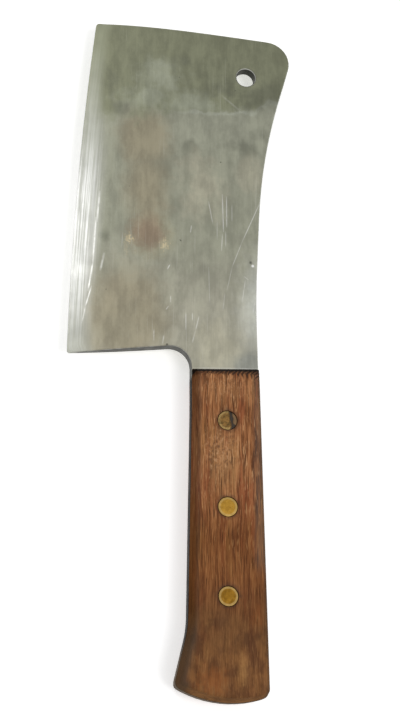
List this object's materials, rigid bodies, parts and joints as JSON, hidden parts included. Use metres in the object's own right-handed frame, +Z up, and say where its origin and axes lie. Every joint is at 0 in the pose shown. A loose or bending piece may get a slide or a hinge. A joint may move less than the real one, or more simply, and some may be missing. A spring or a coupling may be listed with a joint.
{
  "type": "butcher's cleaver",
  "caption": "Butcher's cleaver with a broad raked steel blade, a round hanging hole and a full tang riveted between wooden scales that flare at the butt.",
  "frame": {"origin": "under the middle of the cleaver's outline, on the surface that the lower scale lies on", "axes": "+Y along the grip from the butt to the toe of the blade, +X from the cutting edge to the spine, +Z up out of the side that the picture shows"},
  "size_m": [0.103, 0.3168, 0.022],
  "materials": {
    "blade_steel": "old carbon steel with a grey-olive patina and fine lengthwise scratches, bright along the cutting bevel",
    "scale_wood": "worn reddish-brown hardwood with open dark pores along the grip",
    "rivet_brass": "dull aged brass, flush with the wood"
  },
  "bodies": {
    "root": {"blade": "blade_steel", "upper_scale": "scale_wood", "lower_scale": "scale_wood", "front_rivet_sleeve": "rivet_brass", "front_rivet_post": "rivet_brass", "middle_rivet_sleeve": "rivet_brass", "middle_rivet_post": "rivet_brass", "rear_rivet_sleeve": "rivet_brass", "rear_rivet_post": "rivet_brass"}
  },
  "joints": []
}
